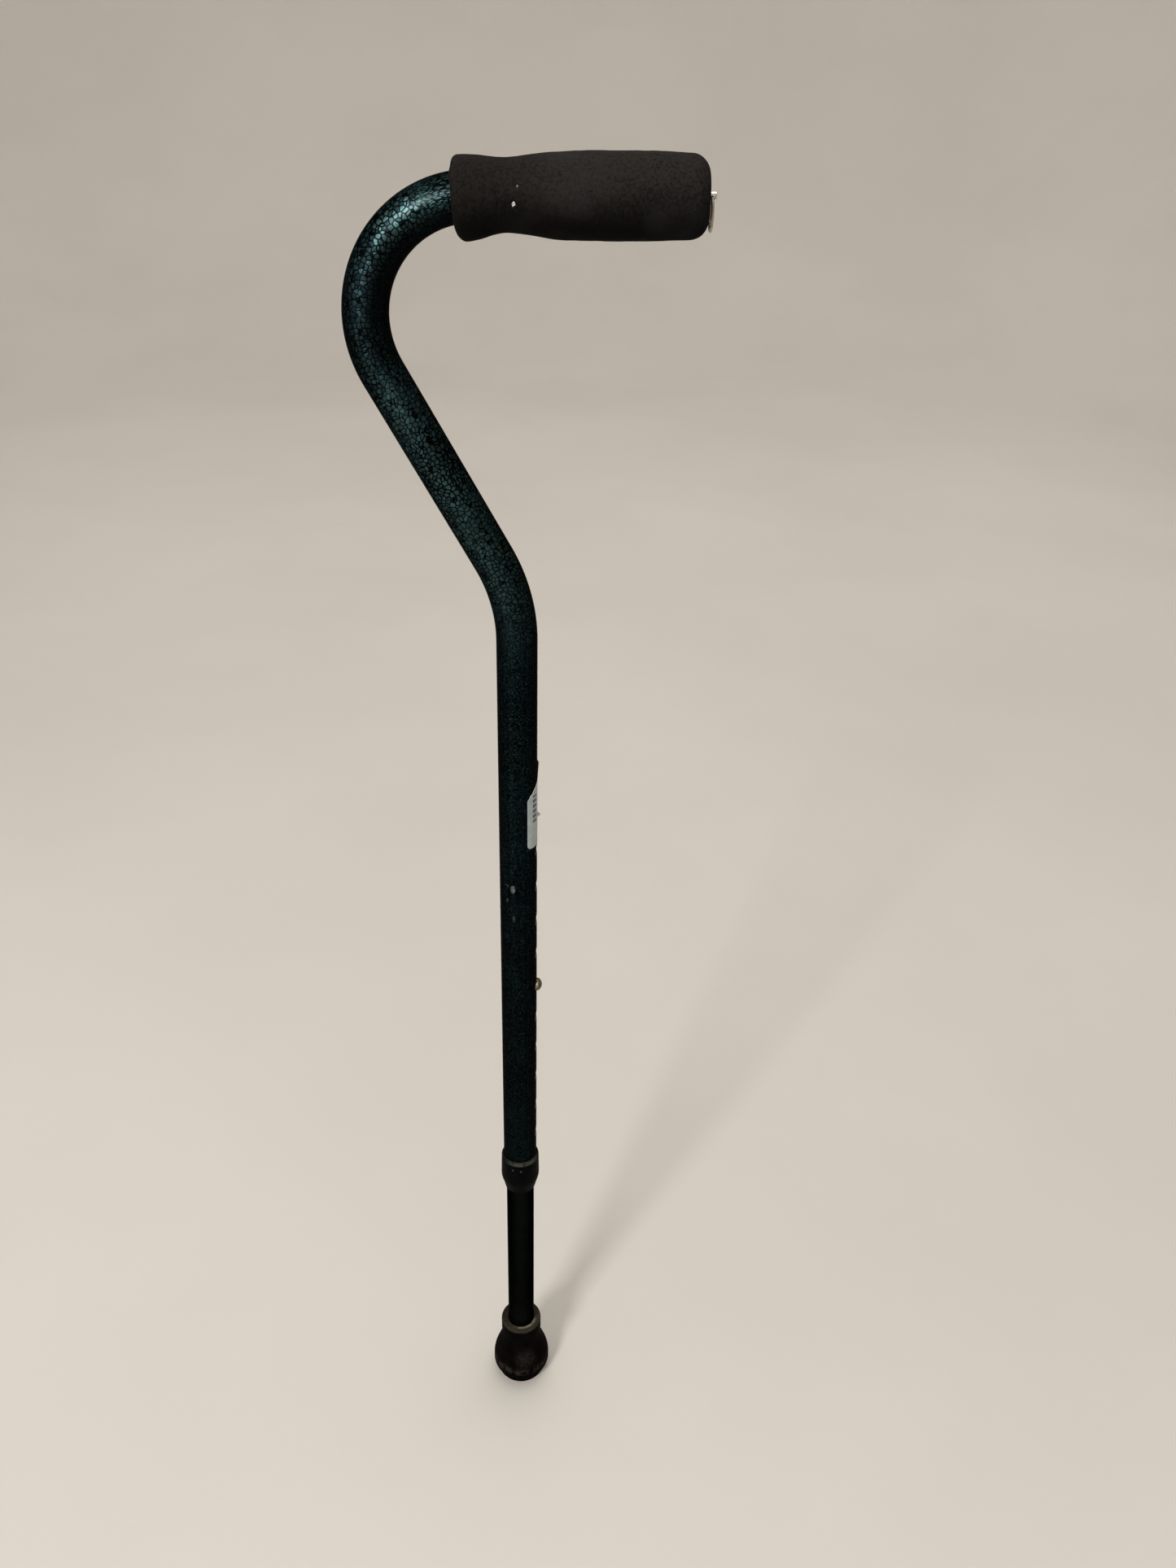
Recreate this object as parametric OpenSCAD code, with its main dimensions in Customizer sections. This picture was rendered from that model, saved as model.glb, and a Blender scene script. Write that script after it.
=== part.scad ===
// Height-adjustable offset walking cane: a bent upper shaft with a foam grip, a lower
// shaft that slides in it and locks with a snap button and a lock nut, and a rubber tip.
// Millimetres. The origin is the centre of the tip's sole, +Z is up and +X points along
// the handle, away from the bends.

/* [Tubes] */
// Outer diameter of the upper shaft
upper_od = 22.2; // [21.6:0.1:22.6]
// Wall thickness of both shafts
tube_wall = 1.3; // [1.2:0.05:1.4]
// Gap between the two shafts, on the radius
slide_gap = 0.3; // [0.25:0.05:0.4]

/* [Heights above the floor] */
// Lower end of the upper shaft
upper_end_z = 211; // [205:1:220]
// Start of the lower bend of the upper shaft
bend_1_z = 613.5; // [560:0.5:640]
// Snap button
button_z = 378; // [360:1:400]
// Top end of the lower shaft
lower_top_z = 403; // [400:1:430]

/* [Bends and handle] */
// Centreline radius of the lower bend
bend_1_r = 94; // [60:1:120]
// Length of the slanted part
slant_length = 105; // [80:1:130]
// Centreline radius of the upper bend
bend_2_r = 53; // [40:1:60]
// Straight tube in the handle
handle_length = 100; // [95:1:115]

/* [Height adjustment] */
// Distance between two adjustment holes
hole_pitch = 25.4; // [20:0.1:26]
// Number of adjustment holes
hole_count = 10; // [6:1:10]
// Hole that the button is in, counted from the top
rest_hole = 5; // [2:1:6]
// Diameter of the adjustment holes
hole_d = 8.2; // [8:0.1:8.6]
// Diameter of the snap button
button_d = 7.9; // [7:0.1:7.9]
// Height of the button above the upper shaft
button_proud = 3.3; // [2:0.1:4]

/* [Foam grip] */
// Start of the grip, back from the start of the straight handle
grip_back = 10.3; // [5:0.1:14]
// Length of the grip
grip_length = 116.3; // [114:0.1:120]
// Diameter of the grip's body
grip_d = 37; // [34:0.5:40]
// Diameter of the narrow waist behind the thumb
waist_d = 31.2; // [28:0.1:33]
// Diameter of the flared end
flare_d = 36.2; // [34:0.1:40]

/* [Lock nut] */
// Widest diameter of the lock nut
nut_d = 26; // [25.2:0.1:28]
// Diameter of the nut below its top bevel
nut_rim_d = 24.7; // [24.7:0.1:25.2]
// Height of the lock nut
nut_height = 31; // [29:1:36]

/* [Rubber tip] */
// Widest diameter of the tip
tip_d = 41.5; // [38:0.5:46]
// Height of the tip
tip_height = 55.5; // [50:0.5:60]
// Diameter of the tip's neck
neck_d = 29.4; // [27:0.2:32]

/* [Label] */
// Height of the label along the shaft
label_height = 53; // [40:1:60]
// Angle of the shaft that the label wraps round, in degrees
label_wrap = 115; // [90:5:150]

/* [Hidden] */
$fn = 96;

eps = 0.01;
past = 5;                                   // how far cuts run on past a face
far = 400;                                  // larger than any cut

// Tube radii
upper_r = upper_od / 2;
upper_bore_r = upper_r - tube_wall;
lower_r = upper_bore_r - slide_gap;
lower_bore_r = lower_r - tube_wall;

// Lean of the slanted part and rise of the handle. Each is a sum of turns whose sines and
// cosines are short decimals, so that the lengths of tube meet without a gap or a step.
small_turn = asin(0.07584);                 // cosine 0.99712
lean_turns = [asin(0.352), small_turn, small_turn];
rise_turns = [asin(0.28), -small_turn, -small_turn, -small_turn, -small_turn];
function total(turns, i = 0) = i == len(turns) ? 0 : turns[i] + total(turns, i + 1);
lean = total(lean_turns);
handle_rise = -total(rise_turns);

// Centreline of the upper shaft in the XZ plane, as [x, z]
slant_start = [-bend_1_r + bend_1_r * cos(lean), bend_1_z + bend_1_r * sin(lean)];
slant_end = slant_start + slant_length * [-sin(lean), cos(lean)];
bend_2_centre = slant_end + bend_2_r * [cos(lean), sin(lean)];
handle_start = bend_2_centre + bend_2_r * [-sin(handle_rise), cos(handle_rise)];

// Handle end: plug, post and ring, as distances along the handle
plug_depth = 14;
plug_flange = 1.5;
grip_end = grip_length - grip_back;
post_r = 2.3;
post_proud = 3.2;
post_end = grip_end + post_proud;
pivot_at = post_end - 2;                    // centre of the hole through the post
ring_wire_r = 0.7;
ring_r = 7.05;                              // to the middle of the wire
pivot_hole_r = 1.2;                         // leaves room for the wire's own curve
pivot = handle_start + pivot_at * [cos(handle_rise), sin(handle_rise)];

// Lock nut and split bush
nut_top = upper_end_z + 20;
nut_bottom = nut_top - nut_height;
nut_bore_r = upper_r + 0.15;
nut_exit_r = lower_r + 0.3;
nut_tip_r = lower_r + 1;
seat_bottom = nut_bottom + 3.5;             // shoulder under the split bush
seat_bottom_r = nut_exit_r + 0.4;
bush_fit = 0.1;
bush_slot = 2;
thread_pitch = 1.8;
thread_turns = 7;
thread_depth = 0.45;
thread_width = 1.3;
thread_start = upper_end_z + 2.5;
rib_depth = thread_depth - 0.12 + nut_bore_r - upper_r;
rib_width = 1.1;

// Rubber tip
sole_thickness = 14;
washer_thickness = 1.5;
lower_end_z = sole_thickness + washer_thickness;

// Snap spring: a strip bent to a V, with flat ends that lie along the bore
strip = 0.8;
strip_width = 8;
spring_bend_r = 2;
arm_x = lower_bore_r - 1.5;                 // middle of the flat ends
arm_bottom = button_z - 38;
arm_knee = button_z - 12;
arm_top = button_z + 6;
button_base = arm_x + strip / 2;
button_tip = upper_r + button_proud;
dome_height = 2.3;
stem_r = 1.5;

// ---- Shared shapes ----

// Turns its children about +Y, one turn after another
module turned(turns, i = 0) {
    if (i == len(turns)) children();
    else rotate([0, turns[i], 0]) turned(turns, i + 1) children();
}

// Frame at the start of the slanted part, with +Z along it
module on_slant() {
    translate([-bend_1_r, 0, bend_1_z]) turned(-lean_turns) translate([bend_1_r, 0, 0]) children();
}

// Frame at the centre of the upper bend, with +X and +Z as in the part's own frame
module at_bend_2() {
    on_slant() translate([bend_2_r, 0, slant_length]) turned(lean_turns) children();
}

// Frame at the start of the straight handle, with +Z along it
module on_handle() {
    at_bend_2() turned(rise_turns) translate([0, 0, bend_2_r]) rotate([0, 90, 0]) children();
}

// Everything above the XY plane, or below it
module half_space(above) {
    translate([-far, -far, above ? 0 : -2 * far]) cube(2 * far);
}

// Round bar bent to a ring in the XZ plane; its seam is at the bottom
module ring_bar(bend_r, r) {
    rotate([90, 0, 0]) rotate([0, 0, -90]) rotate_extrude() translate([bend_r, 0]) circle(r = r);
}

// Round bar along the upper shaft's centreline, longer by `extra` at both ends
module shaft_bar(r, extra = 0) {
    translate([0, 0, upper_end_z - extra]) cylinder(h = bend_1_z - upper_end_z + extra, r = r);
    translate([-bend_1_r, 0, bend_1_z]) intersection() {
        ring_bar(bend_1_r, r);
        translate([0, -far, 0]) cube([far, 2 * far, far]);
        turned(-lean_turns) half_space(false);
    }
    on_slant() cylinder(h = slant_length, r = r);
    at_bend_2() intersection() {
        ring_bar(bend_2_r, r);
        turned(rise_turns) rotate([0, -90, 0]) half_space(true);
        turned(-lean_turns) half_space(true);
    }
    on_handle() cylinder(h = handle_length + extra, r = r);
}

// Round hole or bar along +X from x0 to x1 at height z
module along_x(x0, x1, z, r) {
    translate([x0, 0, z]) rotate([0, 90, 0]) cylinder(h = x1 - x0, r = r);
}

// Rings of V section that point inwards from radius r, one per turn of thread
module thread_rings(r, width, depth, backing) {
    for (turn = [0 : thread_turns - 1])
        translate([0, 0, thread_start + turn * thread_pitch])
            rotate_extrude() polygon([[r + backing, -width / 2], [r + backing, width / 2],
                                      [r, width / 2], [r - depth, 0], [r, -width / 2]]);
}

// Flat strip through the given points, with round joints
module strip_line(points) {
    for (i = [0 : len(points) - 2]) {
        step = points[i + 1] - points[i];
        translate(points[i]) rotate(atan2(step[1], step[0]))
            translate([0, -strip / 2]) square([norm(step), strip]);
    }
    for (i = [1 : len(points) - 2]) translate(points[i]) circle(d = strip, $fn = 24);
}

// ---- Upper body ----

// Bent aluminium tube with the adjustment holes down its +X side
module upper_shaft() {
    color([0.05, 0.22, 0.24]) difference() {
        shaft_bar(upper_r);
        shaft_bar(upper_bore_r, past);
        for (i = [1 : hole_count])
            along_x(upper_bore_r - 3, upper_r + past, button_z + (rest_hole - i) * hole_pitch, hole_d / 2);
        thread_rings(upper_r, thread_width, thread_depth, 1);
    }
}

// Foam hand grip: flared end, narrow waist, full body and a closed rounded end
module foam_grip() {
    body = grip_d / 2;
    waist = waist_d / 2;
    flare = flare_d / 2;
    lip = 5;
    corner = 8;
    first = -grip_back;
    waist_at = first + 25;
    swell = 34;
    color([0.13, 0.12, 0.11]) difference() {
        on_handle() rotate_extrude() polygon(concat(
            [[0, first]],
            [for (a = [0 : 15 : 90]) [flare - lip + lip * sin(a), first + lip - lip * cos(a)]],
            [for (t = [0.1 : 0.1 : 1])
                [waist + (flare - waist) * (1 + cos(180 * t)) / 2,
                 first + lip + (waist_at - first - lip) * t]],
            [for (t = [0.1 : 0.1 : 1])
                [waist + (body - waist) * (1 - cos(180 * t)) / 2, waist_at + swell * t]],
            [for (a = [0 : 15 : 90])
                [body - corner + corner * cos(a), grip_end - corner + corner * sin(a)]],
            [[0, grip_end]]));
        shaft_bar(upper_r);
        on_handle() cylinder(h = handle_length + plug_flange, r = upper_r);
        on_handle() cylinder(h = grip_end + past, r = post_r);
    }
}

// Plastic plug in the handle's open end, bored for the strap post
module handle_end_plug() {
    color([0.16, 0.16, 0.17]) on_handle() difference() {
        union() {
            translate([0, 0, handle_length - plug_depth]) cylinder(h = plug_depth, r = upper_bore_r);
            translate([0, 0, handle_length]) cylinder(h = plug_flange, r = upper_r);
        }
        translate([0, 0, handle_length - plug_depth - past])
            cylinder(h = plug_depth - 4 + past, r = upper_bore_r - 2);
        cylinder(h = handle_length + past, r = post_r);
    }
}

// Chromed post through the plug and the foam, with a cross hole for the ring
module strap_post() {
    head = 1.6;
    post_start = handle_length - 4 - head;
    color([0.8, 0.8, 0.82]) on_handle() difference() {
        union() {
            translate([0, 0, post_start]) cylinder(h = head, r = 4.5);
            translate([0, 0, post_start]) cylinder(h = post_end - 0.4 - post_start, r = post_r);
            translate([0, 0, post_end - 0.4]) cylinder(h = 0.4, r1 = post_r, r2 = post_r - 0.4);
        }
        translate([0, past, pivot_at]) rotate([90, 0, 0]) cylinder(h = 2 * past, r = pivot_hole_r);
    }
}

// Wire ring for the wrist strap, hanging from the post
module strap_ring() {
    gap = 3;
    color([0.8, 0.8, 0.82])
        translate([pivot[0], 0, pivot[1] - ring_r]) rotate([0, 90, 0]) rotate([0, 0, 60])
            rotate_extrude(angle = 360 - gap) translate([ring_r, 0]) circle(r = ring_wire_r, $fn = 32);
}

// Wrapped label with rounded corners, no lettering
module weight_label() {
    thickness = 0.15;
    centre_z = 511.5;
    corner = 5;
    half_width = upper_r * sin(label_wrap / 2);
    color([0.85, 0.86, 0.88]) intersection() {
        translate([0, 0, centre_z - label_height / 2]) difference() {
            cylinder(h = label_height, r = upper_r + thickness);
            translate([0, 0, -eps]) cylinder(h = label_height + 2 * eps, r = upper_r);
        }
        translate([0, 0, centre_z]) rotate([90, 0, 90]) linear_extrude(height = upper_od) union() {
            square([2 * half_width, label_height - 2 * corner], center = true);
            square([2 * (half_width - corner), label_height], center = true);
            for (y = [-1, 1], z = [-1, 1])
                translate([y * (half_width - corner), z * (label_height / 2 - corner)]) circle(r = corner);
        }
    }
}

// Split nylon bush that the nut squeezes on to the lower shaft
module split_bush() {
    top_r = upper_r - 0.1;
    color([0.75, 0.74, 0.7]) difference() {
        translate([0, 0, seat_bottom + bush_fit])
            cylinder(h = upper_end_z - seat_bottom - bush_fit, r1 = seat_bottom_r - bush_fit, r2 = top_r);
        translate([0, 0, nut_bottom]) cylinder(h = nut_height, r = lower_r + 0.08);
        translate([-upper_r - past, -bush_slot / 2, nut_bottom])
            cube([upper_r + past, bush_slot, nut_height]);
    }
}

// ---- Lock nut ----

// Threaded collar with a tapered seat that closes the split bush
module lock_nut() {
    bevel = [0.6, 2.2];                     // of the top rim, across and down
    inner_chamfer = 0.2;
    color([0.09, 0.09, 0.1]) {
        difference() {
            rotate_extrude() polygon([[0, nut_bottom], [nut_tip_r, nut_bottom],
                [nut_d / 2 - 1, nut_bottom + 5.5], [nut_d / 2 - 0.2, nut_bottom + 8.5],
                [nut_d / 2, nut_bottom + 11], [nut_rim_d / 2, nut_top - bevel[1]],
                [nut_rim_d / 2 - bevel[0], nut_top], [0, nut_top]]);
            rotate_extrude() polygon([[0, nut_bottom - past], [nut_exit_r, nut_bottom - past],
                [nut_exit_r, seat_bottom], [seat_bottom_r, seat_bottom], [nut_bore_r, upper_end_z + 0.5],
                [nut_bore_r, nut_top - inner_chamfer], [nut_bore_r + inner_chamfer, nut_top],
                [nut_bore_r + inner_chamfer, nut_top + past], [0, nut_top + past]]);
        }
        thread_rings(nut_bore_r, rib_width, rib_depth, 0.5);
    }
}

// ---- Lower body ----

// Straight aluminium tube with one hole for the snap button
module lower_shaft() {
    color([0.04, 0.08, 0.09]) difference() {
        translate([0, 0, lower_end_z]) cylinder(h = lower_top_z - lower_end_z, r = lower_r);
        translate([0, 0, lower_end_z - past])
            cylinder(h = lower_top_z - lower_end_z + 2 * past, r = lower_bore_r);
        along_x(lower_bore_r - 3, lower_r + past, button_z, hole_d / 2);
    }
}

// Nylon cap on the lower shaft's top end that runs in the upper shaft
module inner_glide() {
    stem = 12;
    flange = 2.5;
    color([0.8, 0.79, 0.75]) difference() {
        union() {
            translate([0, 0, lower_top_z - stem]) cylinder(h = stem, r = lower_bore_r);
            translate([0, 0, lower_top_z]) cylinder(h = flange, r = upper_bore_r - 0.1);
        }
        translate([0, 0, lower_top_z - stem - past])
            cylinder(h = stem + flange + 2 * past, r = lower_bore_r - 2);
    }
}

// V-shaped leaf spring that carries the button and braces on the far wall
module snap_spring() {
    color([0.6, 0.62, 0.64]) difference() {
        translate([0, strip_width / 2, 0]) rotate([90, 0, 0]) linear_extrude(height = strip_width) {
            translate([0, arm_bottom]) difference() {
                circle(r = spring_bend_r + strip / 2);
                circle(r = spring_bend_r - strip / 2);
                translate([-past, 0]) square([2 * past, past]);
            }
            for (side = [-1, 1])
                strip_line([[side * spring_bend_r, arm_bottom - eps], [side * spring_bend_r, arm_bottom + 1],
                            [side * arm_x, arm_knee], [side * arm_x, arm_top]]);
        }
        along_x(0, lower_bore_r, button_z, stem_r + 0.1);
    }
}

// Domed button riveted to the spring, turned about its own axis
module snap_button() {
    button_r = button_d / 2;
    dome_r = (pow(button_r, 2) + pow(dome_height, 2)) / (2 * dome_height);
    dome_edge = asin(button_r / dome_r);
    proud = button_tip - button_base;
    rivet = strip + 0.1;                    // length of the stem through the spring
    head_r = stem_r + 0.9;
    color([0.5, 0.46, 0.38]) translate([button_base, 0, button_z]) rotate([0, 90, 0])
        rotate_extrude() polygon(concat(
            [[0, -rivet - 0.8], [head_r, -rivet - 0.8], [head_r, -rivet], [stem_r, -rivet], [stem_r, 0],
             [button_r, 0]],
            [for (t = [1 : -0.125 : 0])
                [dome_r * sin(dome_edge * t), proud - dome_r + dome_r * cos(dome_edge * t)]]));
}

// Rubber tip: stepped sole with ring treads, wide skirt, bell and thick neck
module rubber_tip() {
    wide = tip_d / 2;
    neck = neck_d / 2;
    skirt_top = 14;
    bell_top = 42;
    sole_r = wide - 3.2;
    color([0.12, 0.11, 0.11]) difference() {
        rotate_extrude() polygon(concat(
            [[0, 0], [sole_r - 1.2, 0], [sole_r, 1.2], [sole_r, 6], [wide - 0.6, 8], [wide, 9.2]],
            [for (t = [0 : 0.1 : 1])
                [neck - 0.3 + (wide - neck + 0.3) * (1 + cos(180 * t)) / 2,
                 skirt_top + (bell_top - skirt_top) * t]],
            [[neck, bell_top + 3], [neck, tip_height - 1.5], [neck - 1.5, tip_height],
             [0, tip_height]]));
        translate([0, 0, sole_thickness]) cylinder(h = tip_height, r = lower_r);
        translate([0, 0, tip_height - 1]) cylinder(h = 1 + eps, r1 = lower_r, r2 = lower_r + 1);
        for (r = [5.5, 10.5])
            translate([0, 0, -eps]) difference() {
                cylinder(h = 2, r = r + 2);
                translate([0, 0, -eps]) cylinder(h = 3, r = r);
            }
    }
}

// Steel washer that keeps the tube from cutting through the sole
module tip_washer() {
    color([0.6, 0.6, 0.62]) translate([0, 0, sole_thickness]) difference() {
        cylinder(h = washer_thickness, r = lower_r);
        translate([0, 0, -eps]) cylinder(h = washer_thickness + 2 * eps, r = 3);
    }
}

upper_shaft();
foam_grip();
handle_end_plug();
strap_post();
strap_ring();
weight_label();
lock_nut();
split_bush();
lower_shaft();
inner_glide();
snap_spring();
snap_button();
rubber_tip();
tip_washer();
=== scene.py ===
"""Looks of the offset walking cane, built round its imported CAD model."""

import math

import bmesh
import bpy
import numpy as np
from mathutils import Matrix, Vector, noise


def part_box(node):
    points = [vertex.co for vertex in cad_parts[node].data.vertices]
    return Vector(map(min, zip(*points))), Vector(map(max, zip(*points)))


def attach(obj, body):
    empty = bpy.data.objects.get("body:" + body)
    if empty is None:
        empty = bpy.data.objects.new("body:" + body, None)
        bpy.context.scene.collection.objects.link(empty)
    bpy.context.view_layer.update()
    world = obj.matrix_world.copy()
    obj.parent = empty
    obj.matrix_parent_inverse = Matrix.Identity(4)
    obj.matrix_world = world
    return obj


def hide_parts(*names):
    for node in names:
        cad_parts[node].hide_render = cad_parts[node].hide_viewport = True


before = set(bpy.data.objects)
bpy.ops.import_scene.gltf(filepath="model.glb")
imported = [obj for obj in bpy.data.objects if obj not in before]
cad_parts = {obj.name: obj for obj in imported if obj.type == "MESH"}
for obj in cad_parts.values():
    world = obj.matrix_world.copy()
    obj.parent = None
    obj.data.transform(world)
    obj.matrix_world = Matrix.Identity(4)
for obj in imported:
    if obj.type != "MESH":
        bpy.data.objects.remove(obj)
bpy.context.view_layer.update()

# ---- Driving dimensions, in metres: those of the CAD model ----
MM = 0.001
UPPER_R = 11.1 * MM
WALL = 1.3 * MM
LOWER_R = 9.5 * MM
UPPER_END_Z = 211 * MM
BEND_1_Z = 613.5 * MM
BEND_1_R = 94 * MM
SLANT_LENGTH = 105 * MM
BEND_2_R = 53 * MM
HANDLE_LENGTH = 100 * MM
# The lean of the slant and the rise of the handle are sums of turns with short sines, as in the CAD
SMALL_TURN = math.asin(0.07584)
LEAN = math.asin(0.352) + 2 * SMALL_TURN
RISE = 4 * SMALL_TURN - math.asin(0.28)
BUTTON_Z = 378 * MM
HOLE_PITCH = 25.4 * MM
HOLE_COUNT = 10
REST_HOLE = 5
HOLE_R = 4.1 * MM
THREAD_START = UPPER_END_Z + 2.5 * MM
THREAD_PITCH = 1.8 * MM
THREAD_TURNS = 7
THREAD_DEPTH = 0.45 * MM
GRIP_START = -8.8 * MM
GRIP_END = 106 * MM
POST_R = 2.3 * MM
POST_END = GRIP_END + 3.2 * MM
PLUG_END = HANDLE_LENGTH + 1.5 * MM
RING_R = 7.05 * MM
WIRE_R = 0.7 * MM
NUT_BOTTOM = 200 * MM
NUT_TOP = 231 * MM
LABEL_BOTTOM = 485 * MM
LABEL_TOP = 538 * MM
LABEL_HALF_WRAP = math.radians(57.5)
SOLE_TOP = 14 * MM
TIP_TOP = 55.5 * MM
NECK_R = 14.7 * MM
WIDE_R = 20.75 * MM

AROUND = 96
HOLES_Z = [BUTTON_Z + (REST_HOLE - i) * HOLE_PITCH for i in range(1, HOLE_COUNT + 1)]

# Centreline of the upper shaft in the XZ plane
bend_1_centre = np.array([-BEND_1_R, BEND_1_Z])
slant_dir = np.array([-math.sin(LEAN), math.cos(LEAN)])
slant_start = bend_1_centre + BEND_1_R * np.array([math.cos(LEAN), math.sin(LEAN)])
slant_end = slant_start + SLANT_LENGTH * slant_dir
bend_2_centre = slant_end + BEND_2_R * np.array([math.cos(LEAN), math.sin(LEAN)])
handle_dir = np.array([math.cos(RISE), math.sin(RISE)])
handle_up = np.array([-math.sin(RISE), math.cos(RISE)])
handle_start = bend_2_centre + BEND_2_R * handle_up
BEND_2_TURN = math.pi / 2 + LEAN - RISE

S_BEND_1 = BEND_1_Z - UPPER_END_Z
S_SLANT = S_BEND_1 + BEND_1_R * LEAN
S_BEND_2 = S_SLANT + SLANT_LENGTH
S_HANDLE = S_BEND_2 + BEND_2_R * BEND_2_TURN
S_END = S_HANDLE + HANDLE_LENGTH


def on_centreline(s):
    """Point and direction in the XZ plane at length s along the upper shaft, from its lower end."""
    if s <= S_BEND_1:
        return np.array([0.0, UPPER_END_Z + s]), np.array([0.0, 1.0])
    if s <= S_SLANT:
        a = (s - S_BEND_1) / BEND_1_R
        out = np.array([math.cos(a), math.sin(a)])
        return bend_1_centre + BEND_1_R * out, np.array([-out[1], out[0]])
    if s <= S_BEND_2:
        return slant_start + (s - S_SLANT) * slant_dir, slant_dir
    if s <= S_HANDLE:
        a = math.pi + LEAN - (s - S_BEND_2) / BEND_2_R
        out = np.array([math.cos(a), math.sin(a)])
        return bend_2_centre + BEND_2_R * out, np.array([out[1], -out[0]])
    return handle_start + (s - S_HANDLE) * handle_dir, handle_dir


def round_at(s, r, a):
    """Point at radius r and angle a round the centreline; 0 is the side with the holes, 90 degrees is +Y."""
    p, t = on_centreline(s)
    side = np.array([t[1], -t[0]])
    q = p + r * math.cos(a) * side
    return (q[0], r * math.sin(a), q[1])


def angles(count=AROUND):
    return [2 * math.pi * i / count for i in range(count)]


# ---- Mesh helpers ----

def scaled(p, by):
    return tuple(a * b for a, b in zip(p, by))


def mesh_object(name, points, faces):
    mesh = bpy.data.meshes.new(name)
    mesh.from_pydata([tuple(p) for p in points], [], faces)
    mesh.validate()
    obj = bpy.data.objects.new(name, mesh)
    bpy.context.scene.collection.objects.link(obj)
    return obj


def loft(name, rings, closed_loop=False):
    """Skin over rings of points that all have the same count. Open ends are capped, or the last ring joins
    the first."""
    count = len(rings[0])
    points = [p for ring in rings for p in ring]
    pairs = list(zip(range(len(rings)), range(1, len(rings))))
    if closed_loop:
        pairs.append((len(rings) - 1, 0))
    faces = [(a * count + i, a * count + (i + 1) % count, b * count + (i + 1) % count, b * count + i)
             for a, b in pairs for i in range(count)]
    if not closed_loop:
        last = (len(rings) - 1) * count
        faces.append(tuple(reversed(range(count))))
        faces.append(tuple(range(last, last + count)))
    obj = mesh_object(name, points, faces)
    outwards(obj)
    return obj


def outwards(obj):
    bm = bmesh.new()
    bm.from_mesh(obj.data)
    bmesh.ops.recalc_face_normals(bm, faces=bm.faces)
    bm.to_mesh(obj.data)
    bm.free()


def lathe(name, outline, around=AROUND, axis=None):
    """Solid turned about an axis from a closed outline of (radius, height); a radius of 0 is kept just off
    the axis. axis maps (x, y, h) to a point, with h along the axis; without it the axis is +Z."""
    place = axis or (lambda x, y, h: (x, y, h))
    tiny = 0.001 * MM
    rings = [[place(max(r, tiny) * math.cos(a), max(r, tiny) * math.sin(a), h) for a in angles(around)]
             for r, h in outline]
    return loft(name, rings, closed_loop=True)


def arc(centre, r, start, end, steps):
    """Points of an arc in an outline, by angle in degrees."""
    turns = [math.radians(start + (end - start) * i / steps) for i in range(steps + 1)]
    return [(centre[0] + r * math.cos(a), centre[1] + r * math.sin(a)) for a in turns]


def smooth_curve(knots, x):
    """Catmull-Rom curve through (x, y) knots."""
    xs = [k[0] for k in knots]
    ys = [k[1] for k in knots]
    x = min(max(x, xs[0]), xs[-1])
    i = max(j for j in range(len(xs) - 1) if xs[j] <= x)

    def slope(j):
        a, b = max(j - 1, 0), min(j + 1, len(xs) - 1)
        return (ys[b] - ys[a]) / (xs[b] - xs[a])

    h = xs[i + 1] - xs[i]
    t = (x - xs[i]) / h
    return ((2 * t**3 - 3 * t**2 + 1) * ys[i] + (t**3 - 2 * t**2 + t) * h * slope(i)
            + (3 * t**2 - 2 * t**3) * ys[i + 1] + (t**3 - t**2) * h * slope(i + 1))


def shade(obj, angle=35):
    obj.data.shade_smooth()
    obj.data.set_sharp_from_angle(angle=math.radians(angle))


def cut(obj, cutters):
    """Takes the cutters out of the mesh for good."""
    for c in cutters:
        mod = obj.modifiers.new("cut", "BOOLEAN")
        mod.operation = "DIFFERENCE"
        mod.solver = "EXACT"
        mod.object = c
    bpy.context.view_layer.update()
    graph = bpy.context.evaluated_depsgraph_get()
    made = bpy.data.meshes.new_from_object(obj.evaluated_get(graph))
    obj.modifiers.clear()
    old = obj.data
    obj.data = made
    bpy.data.meshes.remove(old)
    for c in cutters:
        data = c.data
        bpy.data.objects.remove(c)
        bpy.data.meshes.remove(data)


def keep_vector(obj, name, values):
    attribute = obj.data.attributes.new(name, "FLOAT_VECTOR", "POINT")
    attribute.data.foreach_set("vector", np.asarray(values, np.float32).ravel())


def dress(obj, material, body, slot, *nodes):
    """Gives a piece its material and its body, and hides the CAD nodes it stands for; slot is not used."""
    obj.data.materials.clear()
    obj.data.materials.append(material)
    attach(obj, body)
    if nodes:
        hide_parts(*nodes)
    return obj


# ---- Shape of the foam grip ----

# Outlines in mm: length along the handle and radius
TOP_OUTLINE = [(-8.8, 16.8), (-4.0, 17.1), (3.0, 16.7), (11.0, 15.9), (18.0, 16.1),
               (25.0, 16.9), (39.0, 18.2), (60.0, 18.7), (82.0, 18.5), (106.0, 17.6)]
UNDER_OUTLINE = [(-8.8, 18.2), (-4.0, 19.0), (2.0, 18.1), (9.0, 15.9), (15.0, 15.1),
                 (25.0, 16.2), (38.0, 17.9), (60.0, 18.5), (82.0, 18.3), (106.0, 17.7)]
START_CORNER = 4.6 * MM
START_CORNER_TOP = 2.8 * MM
END_CORNER = 8.5 * MM
START_LEAN = 0.034
LEAN_REACH = 16 * MM


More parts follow.
